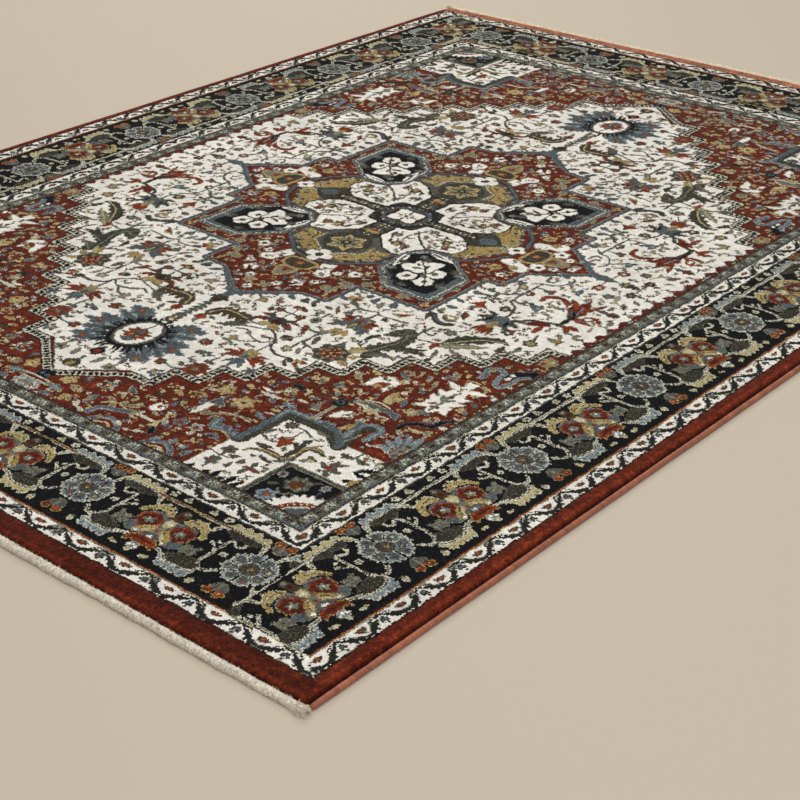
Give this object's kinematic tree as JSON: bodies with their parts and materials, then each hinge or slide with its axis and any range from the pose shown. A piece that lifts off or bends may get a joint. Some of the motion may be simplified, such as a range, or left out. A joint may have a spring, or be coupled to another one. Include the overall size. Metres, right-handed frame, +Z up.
{
  "type": "area rug",
  "caption": "Rectangular area rug with a cut pile, a stepped medallion design, serged long sides and cream bound ends.",
  "frame": {"origin": "centre of the flat underside, on the floor", "axes": "+X across the width of the rug, +Y along its length, +Z up out of the pile"},
  "size_m": [1.6, 2.29, 0.0129],
  "materials": {
    "ground_weave": "coarse woven jute and cotton",
    "rust_pile": "matt cut pile",
    "ivory_pile": "matt cut pile",
    "navy_pile": "matt cut pile",
    "slate_pile": "matt cut pile",
    "serging_yarn": "slightly glossy wound yarn",
    "selvedge_cord": "twisted cotton cord",
    "end_band_yarn": "soft fuzzy cream yarn"
  },
  "bodies": {
    "root": {"ground_weave": "ground_weave", "rim_pile_right": "rust_pile", "rim_pile_left": "rust_pile", "rim_pile_back": "rust_pile", "rim_pile_front": "rust_pile", "outer_guard_pile_right": "ivory_pile", "outer_guard_pile_left": "ivory_pile", "outer_guard_pile_back": "ivory_pile", "outer_guard_pile_front": "ivory_pile", "main_border_pile_right": "navy_pile", "main_border_pile_left": "navy_pile", "main_border_pile_back": "navy_pile", "main_border_pile_front": "navy_pile", "inner_guard_pile_right": "ivory_pile", "inner_guard_pile_left": "ivory_pile", "inner_guard_pile_back": "ivory_pile", "inner_guard_pile_front": "ivory_pile", "minor_guard_pile_right": "slate_pile", "minor_guard_pile_left": "slate_pile", "minor_guard_pile_back": "slate_pile", "minor_guard_pile_front": "slate_pile", "medallion_ground_pile": "ivory_pile", "medallion_star_pile": "rust_pile", "centre_rosette_pile": "ivory_pile", "field_pile_front_left": "rust_pile", "spandrel_pile_front_left": "ivory_pile", "field_pile_front_right": "rust_pile", "spandrel_pile_front_right": "ivory_pile", "field_pile_back_left": "rust_pile", "spandrel_pile_back_left": "ivory_pile", "field_pile_back_right": "rust_pile", "spandrel_pile_back_right": "ivory_pile", "side_serging_left": "serging_yarn", "selvedge_cord_left": "selvedge_cord", "side_serging_right": "serging_yarn", "selvedge_cord_right": "selvedge_cord", "end_band_front": "end_band_yarn", "end_band_back": "end_band_yarn"}
  },
  "joints": []
}
